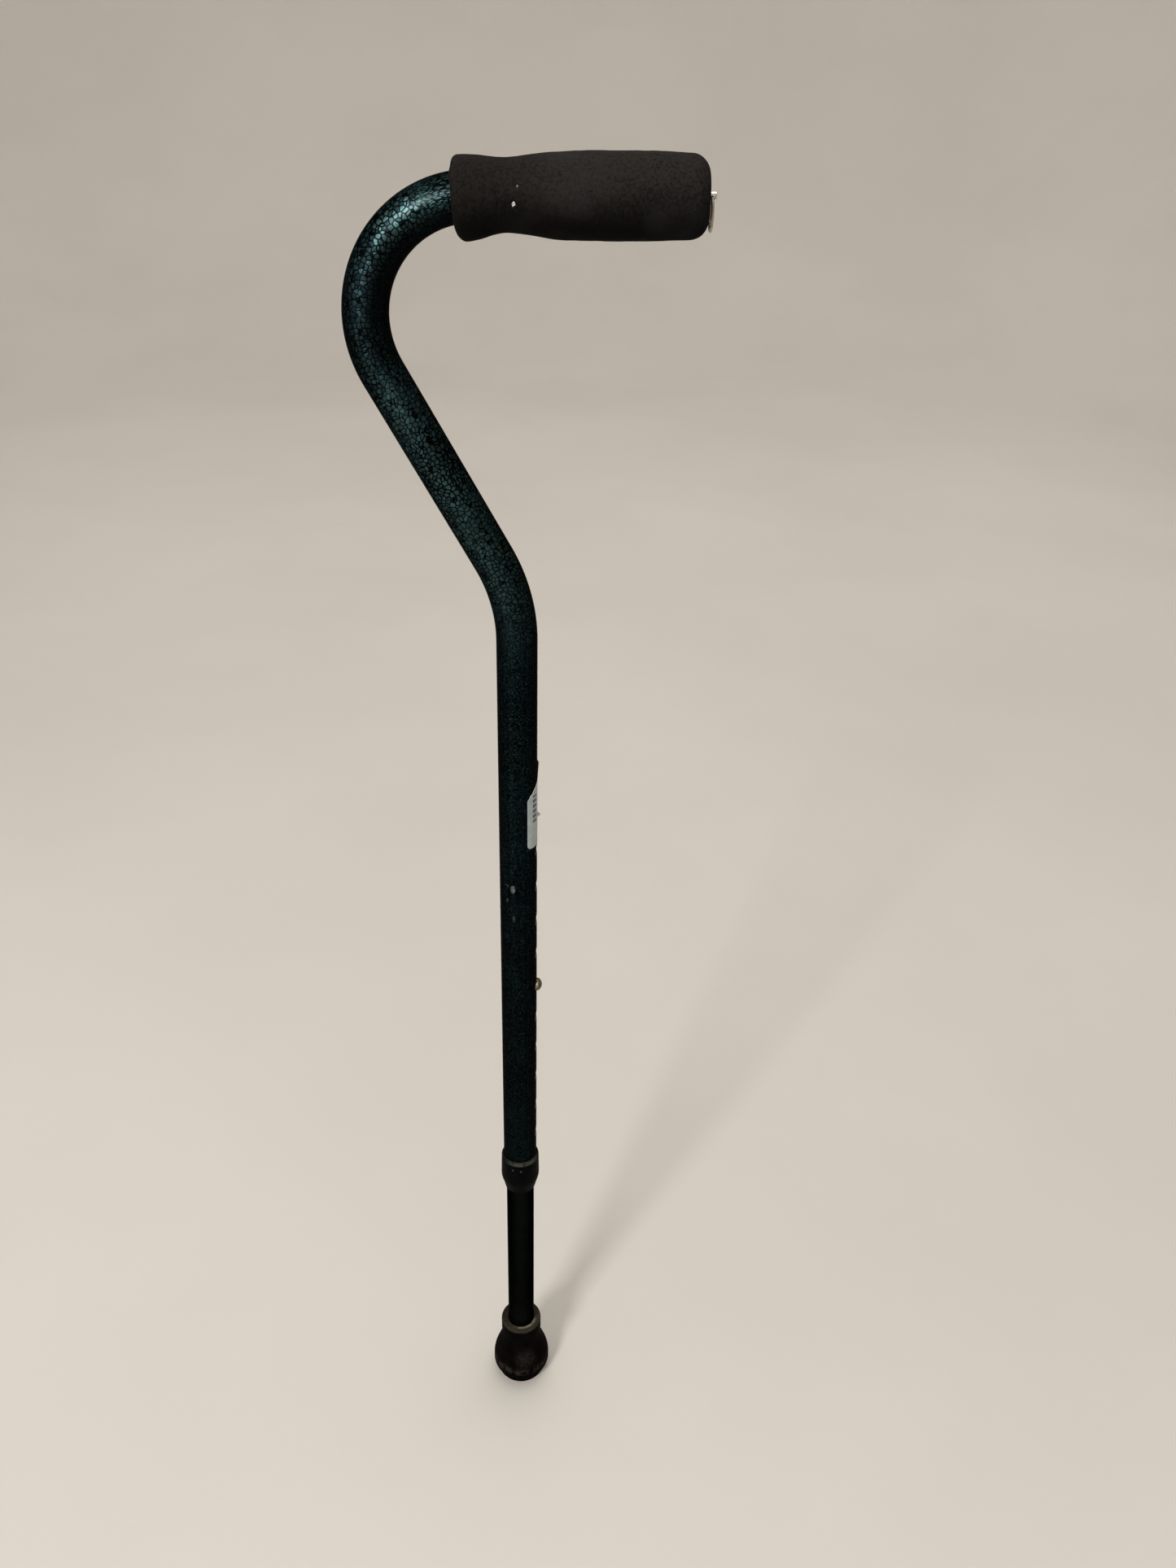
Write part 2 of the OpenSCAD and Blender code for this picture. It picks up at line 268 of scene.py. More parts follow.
def grip_radius(u, up):
    """Outer radius of the foam at length u along the handle; up is 1 on top and -1 underneath."""
    top = smooth_curve(TOP_OUTLINE, u / MM) * MM
    under = smooth_curve(UNDER_OUTLINE, u / MM) * MM
    r = (top * (1 + up) + under * (1 - up)) / 2
    corner = (START_CORNER_TOP * (1 + up) + START_CORNER * (1 - up)) / 2
    if u < GRIP_START + corner:
        d = 1 - (u - GRIP_START) / corner
        r -= corner * (1 - math.sqrt(max(0.0, 1 - d * d)))
    if u > GRIP_END - END_CORNER:
        d = 1 - (GRIP_END - u) / END_CORNER
        r -= END_CORNER * (1 - math.sqrt(max(0.0, 1 - d * d)))
    return r


def grip_point(u, r, a, lean=0.0):
    """Point round the handle's axis: angle 0 is +Y, 90 degrees is up and 180 is the front. lean tips the
    ring over."""
    up = r * math.sin(a)
    p = handle_start + (u - lean * up) * handle_dir + up * handle_up
    return (p[0], r * math.cos(a), p[1])


def on_handle(x, y, h):
    """Point at distance h along the handle's axis, x up and y across."""
    p = handle_start + h * handle_dir + x * handle_up
    return (p[0], y, p[1])


def on_grip(u, up):
    """Point on the front of the foam at height up over the handle's axis, with its angle."""
    r = grip_radius(u, 0.0)
    a = math.pi - math.asin(up / r)
    return grip_point(u, r, a), a


# Nicks in the foam's front, with the pale inside showing
NICK, NICK_ANGLE = on_grip(18.9 * MM, -1.7 * MM)
NICK_SHAPE = (1.0, 1.0, 0.75)
SMALL_NICK, SMALL_NICK_ANGLE = on_grip(20.7 * MM, 5.6 * MM)

# Creases: length along the handle, angle, half length, depth and tilt. Pits: length, angle, width and depth
CREASES = [
    (11.5 * MM, math.radians(176), 7.5 * MM, 0.24 * MM, 0.05),
    (9.8 * MM, math.radians(160), 4.0 * MM, 0.22 * MM, -0.15),
    (4.6 * MM, math.radians(203), 3.5 * MM, 0.22 * MM, 0.9),
    (7.6 * MM, math.radians(214), 2.8 * MM, 0.22 * MM, -1.1),
    (15.6 * MM, math.radians(193), 3.0 * MM, 0.30 * MM, -0.35),
    (20.4 * MM, math.radians(194), 3.0 * MM, 0.30 * MM, 0.40),
    (10.0 * MM, math.radians(10), 6.0 * MM, 0.30 * MM, 0.15),
    (14.0 * MM, math.radians(340), 5.0 * MM, 0.25 * MM, -0.2),
]
PITS = [
    (18.9 * MM, NICK_ANGLE, 1.1 * MM, 0.55 * MM),
    (20.7 * MM, SMALL_NICK_ANGLE, 0.6 * MM, 0.35 * MM),
    (96.0 * MM, math.radians(222), 0.7 * MM, 0.3 * MM),
]


def crease_depth(u, a, r):
    depth_here = 0.0
    for at_u, at_a, length, depth, tilt in CREASES:
        da = (a - at_a) * r
        du = u - at_u - tilt * da - 0.5 * MM * math.sin(da / (1.3 * MM))
        depth_here += depth * math.exp(-(du / (0.55 * MM)) ** 2 - (da / length) ** 2)
    return depth_here


def wear(u, a, r):
    """Small lumps, creases and nicks of used foam, as a change of radius."""
    p = Vector(grip_point(u, r, a))
    change = 0.24 * MM * noise.noise(p * 70) + 0.10 * MM * noise.noise(p * 230) - crease_depth(u, a, r)
    for at_u, at_a, width, depth in PITS:
        change -= depth * math.exp(-((u - at_u) ** 2 + ((a - at_a) * r) ** 2) / width**2)
    return change


# ---- Materials ----

class Shader:
    """A node material with short calls for the nodes that are used here."""

    def __init__(self, name):
        self.material = bpy.data.materials.new(name)
        self.material.use_nodes = True
        self.tree = self.material.node_tree
        self.tree.nodes.clear()
        self.output = self.tree.nodes.new("ShaderNodeOutputMaterial")
        self.bsdf = self.tree.nodes.new("ShaderNodeBsdfPrincipled")
        self.tree.links.new(self.bsdf.outputs[0], self.output.inputs["Surface"])

    def put(self, value, socket):
        if isinstance(value, bpy.types.NodeSocket):
            self.tree.links.new(value, socket)
        else:
            socket.default_value = value

    def set(self, **values):
        """Sets or links sockets of the surface, such as Base_Color."""
        for key, value in values.items():
            self.put(value, self.bsdf.inputs[key.replace("_", " ")])

    def node(self, kind, inputs=(), out=0, **settings):
        n = self.tree.nodes.new(kind)
        for key, value in settings.items():
            setattr(n, key, value)
        for key, value in dict(inputs).items():
            self.put(value, n.inputs[key])
        return n.outputs[out]

    def place(self):
        return self.node("ShaderNodeTexCoord", out="Object")

    def attribute(self, name):
        return self.node("ShaderNodeAttribute", out="Vector", attribute_name=name)

    def maths(self, operation, a, b=0.0):
        return self.node("ShaderNodeMath", {0: a, 1: b}, operation=operation)

    def times(self, *values):
        """Product of two or more values."""
        product = values[0]
        for value in values[1:]:
            product = self.maths("MULTIPLY", product, value)
        return product

    def vector(self, operation, a, b=(0, 0, 0), out=0):
        return self.node("ShaderNodeVectorMath", {0: a, 1: b}, out=out, operation=operation)

    def noise(self, where, scale, detail=3.0, rough=0.55, distortion=0.0):
        return self.node("ShaderNodeTexNoise", {"Vector": where, "Scale": scale, "Detail": detail,
                                                "Roughness": rough, "Distortion": distortion})

    def ramp(self, value, low, high, to_low=0.0, to_high=1.0, smooth=True):
        """Maps low..high to to_low..to_high, clamped."""
        kind = "SMOOTHSTEP" if smooth else "LINEAR"
        return self.node("ShaderNodeMapRange", {"Value": value, "From Min": low, "From Max": high,
                                                "To Min": to_low, "To Max": to_high}, interpolation_type=kind)

    def mix(self, share, a, b):
        n = self.tree.nodes.new("ShaderNodeMix")
        n.data_type = "RGBA"
        self.put(share, n.inputs[0])
        self.put(a if isinstance(a, bpy.types.NodeSocket) else (*a, 1.0), n.inputs[6])
        self.put(b if isinstance(b, bpy.types.NodeSocket) else (*b, 1.0), n.inputs[7])
        return n.outputs[2]

    def bump(self, height, distance, strength=1.0, below=None):
        inputs = {"Height": height, "Distance": distance, "Strength": strength}
        if below is not None:
            inputs["Normal"] = below
        return self.node("ShaderNodeBump", inputs)

    def split(self, vector):
        n = self.tree.nodes.new("ShaderNodeSeparateXYZ")
        self.put(vector, n.inputs[0])
        return n.outputs[0], n.outputs[1], n.outputs[2]

    def join(self, x, y, z):
        return self.node("ShaderNodeCombineXYZ", {0: x, 1: y, 2: z})

    def upward(self):
        """Upward share of the surface normal, from -1 to 1."""
        return self.split(self.node("ShaderNodeNewGeometry", out="Normal"))[2]

    def towards(self, x, y, side):
        """How far round the Z axis a point lies towards a side, from -1 to 1."""
        around = self.vector("NORMALIZE", self.join(x, y, 0.0))
        return self.vector("DOT_PRODUCT", around, side, out="Value")

    def near(self, where, point, radius, fuzz):
        """1 within radius of a point, falling to 0 over fuzz."""
        gap = self.vector("DISTANCE", where, point, out="Value")
        return self.ramp(gap, radius, radius + fuzz, 1.0, 0.0)


# Scuffs on the front of the shaft, on the straightened tube: place, half width, half height and strength
SCUFFS = [
    ((-2.7 * MM, -10.7 * MM, 457.5 * MM - UPPER_END_Z), 1.4 * MM, 2.9 * MM, 1.0),
    ((-6.3 * MM, -9.1 * MM, 459.5 * MM - UPPER_END_Z), 1.4 * MM, 1.0 * MM, 0.35),
    ((-6.0 * MM, -9.3 * MM, 449.0 * MM - UPPER_END_Z), 0.9 * MM, 1.6 * MM, 0.35),
    ((-2.2 * MM, -10.9 * MM, 436.5 * MM - UPPER_END_Z), 0.8 * MM, 3.0 * MM, 0.28),
]


def crackle(name):
    """Crackle paint: metallic cells between black veins, on the straightened tube's own coordinates."""
    m = Shader(name)
    tube = m.attribute("tube")
    x, y, s = m.split(tube)
    wobble = m.times(m.maths("SUBTRACT", m.noise(tube, 260.0, 2.0), 0.5), 1.6 * MM)

    place = m.join(m.maths("ADD", x, wobble), m.maths("ADD", y, wobble), s)
    zone = m.noise(tube, 24.0, 2.0)

    def cells(where, size, vein):
        edge = m.node("ShaderNodeTexVoronoi", {"Vector": where, "Scale": 1 / size, "Randomness": 0.80},
                      feature="DISTANCE_TO_EDGE")
        tint = m.node("ShaderNodeTexVoronoi", {"Vector": where, "Scale": 1 / size, "Randomness": 0.80},
                      out="Color", feature="F1")
        width = m.ramp(zone, 0.35, 0.7, vein * 0.6, vein * 1.4)
        return m.ramp(m.maths("SUBTRACT", edge, width), 0.0, 0.12), tint

    big, big_tint = cells(place, 2.3 * MM, 0.060)
    small, small_tint = cells(place, 1.4 * MM, 0.10)
    # next to the grip the cells are thin and drawn out along the tube
    streaky, streaky_tint = cells(m.vector("MULTIPLY", tube, (1.0, 1.0, 0.26)), 0.8 * MM, 0.09)
    on_shaft = m.ramp(m.maths("ADD", s, m.times(wobble, 12.0)), S_BEND_1 - 30 * MM, S_SLANT, 1.0, 0.0)
    by_grip = m.ramp(m.maths("ADD", s, m.times(wobble, 5.0)), S_HANDLE - 26 * MM, S_HANDLE - 15 * MM)
    stone = m.ramp(on_shaft, 0.0, 1.0, big, small, smooth=False)
    stone = m.ramp(by_grip, 0.0, 1.0, stone, streaky, smooth=False)
    tint = m.mix(by_grip, m.mix(on_shaft, big_tint, small_tint), streaky_tint)
    t1, t2, _ = m.split(tint)
    grain = m.noise(tube, 1900.0, 3.0, 0.7)
    lit = m.times(m.ramp(t1, 0.1, 0.9, 0.35, 1.0, smooth=False), m.ramp(grain, 0.3, 0.75, 0.6, 1.2))
    teal = m.mix(m.ramp(t2, 0.55, 0.95), (0.027, 0.058, 0.055), (0.022, 0.048, 0.055))
    teal = m.mix(m.ramp(m.noise(tube, 9.0, 2.0), 0.54, 0.70), teal, (0.016, 0.032, 0.044))
    body = m.mix(lit, (0.0035, 0.0078, 0.0092), teal)
    # painted shade: the straight shaft is made darker, standing in for the dark surroundings it reflects
    body = m.mix(m.times(on_shaft, 0.72), body, (0.0002, 0.0036, 0.0062))
    sparkle = m.times(m.ramp(m.noise(tube, 620.0, 1.0), 0.58, 0.70), on_shaft)
    body = m.mix(m.times(sparkle, 0.50), body, (0.026, 0.050, 0.056))
    # painted shade: greyer and darker where the upper bend starts
    painted_shade_bend_start = m.times(m.ramp(s, S_BEND_2 - 15 * MM, S_BEND_2 + 15 * MM),
                   m.ramp(s, S_BEND_2 + 42 * MM, S_BEND_2 + 80 * MM, 1.0, 0.0))
    body = m.mix(m.times(painted_shade_bend_start, 0.66), body, (0.0035, 0.0062, 0.0100))
    # painted shade on the inside of the upper bend
    inside = m.times(m.ramp(x, -1.0 * MM, 6.0 * MM), m.ramp(s, S_BEND_2 - 10 * MM, S_BEND_2 + 45 * MM))
    body = m.mix(m.times(inside, 0.86), body, (0.0012, 0.0022, 0.0026))
    colour = m.mix(stone, (0.0008, 0.0011, 0.0013), body)

    # long fine scratches on the slant and at the shaft's top
    streaks_at = m.join(m.times(x, 1000.0), m.times(y, 1000.0), m.times(s, 26.0))
    streak = m.ramp(m.noise(streaks_at, 1.0, 3.0, 0.6), 0.68, 0.76)
    worn = m.times(m.ramp(m.noise(tube, 26.0, 3.0), 0.50, 0.68),
                   m.ramp(s, S_BEND_1 - 120 * MM, S_BEND_1 + 40 * MM, 0.25, 1.0))
    scratch = m.times(streak, worn, 0.6)
    colour = m.mix(scratch, colour, (0.085, 0.100, 0.097))

    # pale scuff and fainter marks on the front of the shaft
    for point, wide, tall, strength in SCUFFS:
        off = m.vector("SUBTRACT", tube, point)
        off = m.vector("DIVIDE", m.vector("ADD", off, m.join(0.0, 0.0, wobble)), (wide, 4 * MM, tall))
        patch = m.ramp(m.vector("LENGTH", off, out="Value"), 0.75, 1.15, 1.0, 0.0)
        broken = m.noise(m.vector("MULTIPLY", tube, (900.0, 500.0, 1700.0)), 1.0, 2.0)
        patch = m.times(patch, m.ramp(broken, 0.43, 0.53), strength)
        colour = m.mix(patch, colour, (0.135, 0.155, 0.150))

    # bare rims of the drilled holes
    lowest, highest = HOLES_Z[-1] - UPPER_END_Z, HOLES_Z[0] - UPPER_END_Z
    row = m.maths("PINGPONG", m.maths("ADD", s, -lowest), HOLE_PITCH / 2)
    hole_gap = m.vector("LENGTH", m.join(0.0, y, row), out="Value")
    in_row = m.times(m.maths("GREATER_THAN", x, 0.0), m.maths("GREATER_THAN", s, lowest - HOLE_PITCH / 2),
                     m.maths("LESS_THAN", s, highest + HOLE_PITCH / 2))
    uneven_gap = m.maths("ADD", hole_gap, m.times(wobble, 0.25))
    rim = m.ramp(uneven_gap, HOLE_R + 0.15 * MM, HOLE_R + 0.45 * MM, 1.0, 0.0)
    colour = m.mix(m.times(rim, in_row, 0.7), colour, (0.13, 0.135, 0.13))

    smudge = m.noise(tube, 60.0, 4.0, 0.6)
    m.set(Base_Color=colour, Metallic=1.0, Specular_Tint=(0.22, 0.20, 0.18, 1.0),
          Roughness=m.maths("ADD", m.ramp(smudge, 0.3, 0.75, 0.42, 0.52), m.times(scratch, 0.1)),
          Coat_Weight=0.03, Coat_Roughness=0.25, Coat_IOR=1.45)
    # each cell is tipped a little its own way, so that it catches the light or not
    tip = m.vector("MULTIPLY", m.vector("SUBTRACT", tint, (0.5,) * 3), (0.17,) * 3)
    tipped = m.vector("NORMALIZE", m.vector("ADD", m.node("ShaderNodeNewGeometry", out="Normal"), tip))
    swell = m.bump(stone, 0.05 * MM, 0.8, below=tipped)
    m.set(Normal=m.bump(m.noise(tube, 700.0, 2.0), 0.03 * MM, 0.5, below=swell))
    return m.material


def foam(name):
    m = Shader(name)
    at = m.place()
    broad = m.noise(at, 45.0, 3.0)
    pores = m.node("ShaderNodeTexVoronoi", {"Vector": at, "Scale": 1250.0, "Randomness": 1.0}, feature="F1")
    fine = m.noise(at, 2300.0, 4.0, 0.7)
    mottle = m.noise(at, 700.0, 3.0, 0.65)
    tone = m.maths("ADD", m.times(mottle, 0.6), m.times(broad, 0.4))
    colour = m.mix(m.ramp(tone, 0.34, 0.64), (0.0032, 0.0026, 0.0021), (0.0200, 0.0170, 0.0148))
    facing = m.upward()
    # dust on the upper faces, with painted light: the top of the grip is made lighter
    dust_and_top_light = m.times(m.ramp(facing, -0.45, 0.95, 0.0, 0.62), m.ramp(mottle, 0.30, 0.60, 0.35, 1.0))
    colour = m.mix(dust_and_top_light, colour, (0.0270, 0.0238, 0.0214))
    # painted shade: faces that turn downwards are made much darker
    colour = m.mix(m.ramp(facing, -0.70, 0.38, 0.96, 0.0), colour, (0.0008, 0.0006, 0.0004))
    # painted shade in the creases
    crease = m.split(m.attribute("crease"))[0]
    colour = m.mix(m.ramp(crease, 0.05, 0.28, 0.0, 0.60), colour, (0.0022, 0.0017, 0.0013))
    # greyer where hands have polished it, and blacker at the flare
    along = m.maths("SUBTRACT", m.split(at)[0], float(handle_start[0]))
    colour = m.mix(m.ramp(m.noise(at, 24.0, 2.0), 0.50, 0.72, 0.0, 0.30), colour, (0.027, 0.0255, 0.025))
    colour = m.mix(m.ramp(along, 10 * MM, 45 * MM, 0.36, 0.0), colour, (0.0030, 0.0024, 0.0020))
    shake = m.node("ShaderNodeTexNoise", {"Vector": at, "Scale": 1300.0, "Detail": 2.0}, out="Color")
    shake = m.vector("MULTIPLY", m.vector("SUBTRACT", shake, (0.5,) * 3), (1.1 * MM,) * 3)
    ragged = m.vector("ADD", at, shake)
    stretched = m.vector("MULTIPLY", ragged, NICK_SHAPE)
    nick = m.near(stretched, scaled(NICK, NICK_SHAPE), 0.75 * MM, 0.15 * MM)
    speck = m.times(m.near(ragged, SMALL_NICK, 0.30 * MM, 0.25 * MM), 0.35)
    nick = m.maths("MAXIMUM", m.times(nick, m.ramp(fine, 0.30, 0.42)), speck)
    colour = m.mix(nick, colour, (0.70, 0.70, 0.68))
    m.set(Base_Color=colour, Roughness=m.ramp(broad, 0.3, 0.7, 0.86, 0.97), Specular_IOR_Level=0.04)
    skin = m.bump(mottle, 0.35 * MM, 0.45)
    skin = m.bump(pores, 0.16 * MM, 0.55, below=skin)
    m.set(Normal=m.bump(fine, 0.08 * MM, 0.5, below=skin))
    return m.material


# Small chips in the lock nut's front
CHIPS = [(-4.3 * MM, -12.0 * MM, 224.0 * MM), (1.3 * MM, -12.7 * MM, 223.6 * MM)]


def plastic(name, worn_and_highlit_rim=None):
    """Black moulded plastic. The second argument is the height of a top rim that is pale at the front, from
    wear and a painted highlight.
    """
    m = Shader(name)
    at = m.place()
    x, y, z = m.split(at)
    blotch = m.noise(at, 160.0, 4.0, 0.6)
    colour = m.mix(m.ramp(blotch, 0.35, 0.7), (0.0008, 0.0012, 0.0014), (0.0022, 0.0028, 0.0032))
    speck = m.ramp(m.noise(at, 620.0, 2.0, 0.5), 0.70, 0.78)
    colour = m.mix(m.times(speck, 0.22), colour, (0.075, 0.075, 0.075))
    if worn_and_highlit_rim is not None:
        # pale band at the front below the top rim: wear, with a painted highlight on the rounded shoulder
        front = m.ramp(m.towards(x, y, (0.30, -0.954, 0.0)), 0.30, 0.99, 0.12, 1.0)
        powder_and_highlight_noise = m.ramp(m.noise(at, 380.0, 3.0, 0.65), 0.30, 0.56, 0.25, 1.0)
        band = m.times(m.ramp(z, worn_and_highlit_rim - 3.4 * MM, worn_and_highlit_rim - 2.2 * MM),
                       m.ramp(z, worn_and_highlit_rim - 1.3 * MM, worn_and_highlit_rim - 0.4 * MM, 1.0, 0.25))
        colour = m.mix(m.times(band, front, powder_and_highlight_noise), colour, (0.062, 0.065, 0.050))
        # a thin pale line round the inner edge of the rim, wear with a painted highlight, and two small chips
        # below it
        line = m.ramp(z, worn_and_highlit_rim - 0.5 * MM, worn_and_highlit_rim - 0.15 * MM)
        colour = m.mix(m.times(line, powder_and_highlight_noise, front, 0.6), colour, (0.070, 0.073, 0.056))
        for point in CHIPS:
            chip = m.near(at, point, 0.35 * MM, 0.45 * MM)
            colour = m.mix(m.times(chip, 0.7), colour, (0.11, 0.12, 0.12))
    m.set(Base_Color=colour, Roughness=m.ramp(blotch, 0.3, 0.7, 0.42, 0.58), Specular_IOR_Level=0.012)
    m.set(Normal=m.bump(m.noise(at, 2600.0, 2.0), 0.03 * MM, 0.6))
    return m.material


def rubber(name):
    """Black rubber, brown with dust where it faces up, and pale next to the tube from dust and a painted
    highlight.
    """
    m = Shader(name)
    at = m.place()
    x, y, z = m.split(at)
    cloud = m.noise(at, 95.0, 5.0, 0.62)
    grit = m.noise(at, 950.0, 3.0, 0.7)
    colour = m.mix(m.ramp(cloud, 0.35, 0.68), (0.0008, 0.0006, 0.0005), (0.0036, 0.0027, 0.0020))
    facing = m.upward()
    up = m.times(m.ramp(facing, 0.30, 0.95, 0.0, 0.7), m.ramp(grit, 0.34, 0.62))
    colour = m.mix(m.times(up, m.ramp(cloud, 0.40, 0.62, 0.3, 1.0)), colour, (0.026, 0.0220, 0.0175))
    from_axis = m.vector("LENGTH", m.join(x, y, 0.0), out="Value")
    side = m.towards(x, y, (0.45, -0.893, 0.0))
    top = m.ramp(z, TIP_TOP - 2.2 * MM, TIP_TOP - 0.8 * MM)
    # worn brown rim of the neck, and a pale crescent against the tube: dust with a painted highlight
    rim = m.times(top, m.ramp(side, -0.9, 0.4, 0.25, 0.75), m.ramp(grit, 0.30, 0.60, 0.3, 1.0))
    colour = m.mix(rim, colour, (0.056, 0.048, 0.037))
    dust_and_highlight_crescent = m.ramp(from_axis, LOWER_R + 1.3 * MM, LOWER_R + 3.0 * MM, 1.0, 0.0)
    dust_and_highlight_crescent = m.times(dust_and_highlight_crescent, top, m.ramp(side, 0.45, 0.95), m.ramp(m.noise(at, 330.0, 3.0), 0.32, 0.55))
    colour = m.mix(dust_and_highlight_crescent, colour, (0.230, 0.205, 0.125))
    # a lighter scuffed band just above the widest ring, and painted shade on the sole under it
    scuff = m.times(m.ramp(z, 11.5 * MM, 14.0 * MM), m.ramp(z, 16.0 * MM, 21.5 * MM, 1.0, 0.0),
                    m.ramp(m.noise(at, 300.0, 4.0, 0.65), 0.43, 0.63, 0.0, 0.90))
    colour = m.mix(scuff, colour, (0.032, 0.027, 0.0235))
    colour = m.mix(m.ramp(z, 9.0 * MM, 12.5 * MM, 0.85, 0.0), colour, (0.0007, 0.0005, 0.0004))
    rubbed = m.times(m.near(at, (4 * MM, -17 * MM, 27 * MM), 2 * MM, 9 * MM), m.ramp(grit, 0.38, 0.60))
    colour = m.mix(m.times(rubbed, 0.5), colour, (0.040, 0.035, 0.030))
    m.set(Base_Color=colour, Roughness=m.ramp(cloud, 0.3, 0.7, 0.62, 0.82), Specular_IOR_Level=0.012)
    lumps = m.bump(cloud, 0.30 * MM, 0.5)
    m.set(Normal=m.bump(grit, 0.05 * MM, 0.7, below=lumps))
    return m.material


def metal(name, colour, rough, grime, grain=(1.0, 1.0, 1.0)):
    m = Shader(name)
    at = m.place()
    film = m.noise(at, 420.0, 4.0, 0.6)
    lines = m.noise(m.vector("MULTIPLY", at, grain), 1500.0, 3.0, 0.6)
    dark = tuple(c * 0.35 for c in colour)
    m.set(Base_Color=m.mix(m.ramp(film, 0.42, 0.72, 0.0, grime), colour, dark), Metallic=1.0,
          Roughness=m.ramp(lines, 0.3, 0.7, rough, rough + 0.16))
    m.set(Normal=m.bump(lines, 0.012 * MM, 0.5))
    return m.material


def nylon(name):
    m = Shader(name)
    at = m.place()
    cloud = m.noise(at, 200.0, 4.0)
    m.set(Base_Color=m.mix(m.ramp(cloud, 0.35, 0.7), (0.55, 0.53, 0.46), (0.70, 0.68, 0.61)),
          Roughness=m.ramp(cloud, 0.3, 0.7, 0.40, 0.55), Subsurface_Weight=0.1)
    m.set(Normal=m.bump(m.noise(at, 2400.0), 0.02 * MM, 0.5))
    return m.material


def film(name):
    """White label film with plain printed bars in place of words."""
    m = Shader(name)
    across, up, edge = m.split(m.attribute("label"))
    cloud = m.noise(m.place(), 260.0, 4.0)
    colour = m.mix(m.ramp(cloud, 0.35, 0.7), (0.335, 0.392, 0.400), (0.405, 0.464, 0.472))
    fade = m.noise(m.place(), 900.0, 3.0)
    for centre, half in ((-5.2 * MM, 2.0 * MM), (1.6 * MM, 0.5 * MM), (5.4 * MM, 0.5 * MM)):
        from_centre = m.maths("ABSOLUTE", m.maths("SUBTRACT", across, centre))
        column = m.ramp(from_centre, half - 0.1 * MM, half + 0.1 * MM, 1.0, 0.0)
        # bars are cut from a line by a wave along its length
        beat = m.maths("SINE", m.times(up, 2 * math.pi / (3.4 * MM)))
        bar = m.ramp(beat, -0.45, -0.15)
        block = m.times(m.ramp(up, 16.8 * MM, 17.2 * MM), m.ramp(up, 35.0 * MM, 35.4 * MM, 1.0, 0.0))
        ink = m.times(column, bar, block, m.ramp(fade, 0.25, 0.5, 0.6, 0.95))
        colour = m.mix(ink, colour, (0.016, 0.016, 0.060))
    colour = m.mix(m.ramp(edge, 0.0, 1.0), colour, (0.80, 0.81, 0.78))
    m.set(Base_Color=colour, Roughness=m.ramp(cloud, 0.3, 0.7, 0.42, 0.58),
          Coat_Weight=0.15, Coat_Roughness=0.35)
    m.set(Normal=m.bump(m.noise(m.place(), 190.0, 2.0), 0.12 * MM, 0.5))
    return m.material


def floor_paint(name):
    m = Shader(name)
    at = m.place()
    cloud = m.noise(at, 1.4, 4.0)
    fine = m.noise(at, 240.0, 4.0, 0.6)
    colour = m.mix(m.ramp(cloud, 0.3, 0.7), (0.70, 0.665, 0.610), (0.74, 0.705, 0.650))
    m.set(Base_Color=colour, Roughness=0.85, Specular_IOR_Level=0.2)
    m.set(Normal=m.bump(fine, 0.25 * MM, 0.4))
    return m.material


crackle_coat = crackle("crackle_coat")
black_plastic = plastic("black_plastic", NUT_TOP)
plug_plastic = plastic("plug_plastic")
grip_foam = foam("grip_foam")
tip_rubber = rubber("tip_rubber")
chrome = metal("chromed_steel", (0.80, 0.78, 0.74), 0.20, 0.5)
ring_steel = metal("ring_steel", (0.42, 0.37, 0.31), 0.34, 0.7)
button_metal = metal("button_metal", (0.155, 0.130, 0.092), 0.48, 0.8)
spring_steel = metal("spring_steel", (0.52, 0.53, 0.55), 0.25, 0.4, (1.0, 1.0, 0.05))
natural_nylon = nylon("natural_nylon")
label_film = film("label_film")


# ---- Upper shaft: one bent tube, threaded at its lower end, with a row of drilled holes ----

def tube_stations():
    """Lengths along the shaft at which the tube gets a ring, with the outer radius there."""
    lip = 0.3 * MM
    stations = [(0.0, UPPER_R - lip), (lip, UPPER_R)]
    for turn in range(THREAD_TURNS):
        z = THREAD_START - UPPER_END_Z + turn * THREAD_PITCH
        for offset, depth in ((-0.65, 0.0), (-0.1, 1.0), (0.1, 1.0), (0.65, 0.0)):
            stations.append((z + offset * MM, UPPER_R - depth * THREAD_DEPTH))
    straight = np.linspace(THREAD_START - UPPER_END_Z + THREAD_TURNS * THREAD_PITCH, S_BEND_1, 30)
    stations += [(s, UPPER_R) for s in straight]
    stations += [(s, UPPER_R) for s in np.linspace(S_BEND_1, S_SLANT, 25)[1:]]
    stations += [(s, UPPER_R) for s in np.linspace(S_SLANT, S_BEND_2, 8)[1:]]
    stations += [(s, UPPER_R) for s in np.linspace(S_BEND_2, S_HANDLE, 73)[1:]]
    stations += [(s, UPPER_R) for s in np.linspace(S_HANDLE, S_END, 8)[1:]]
    return stations


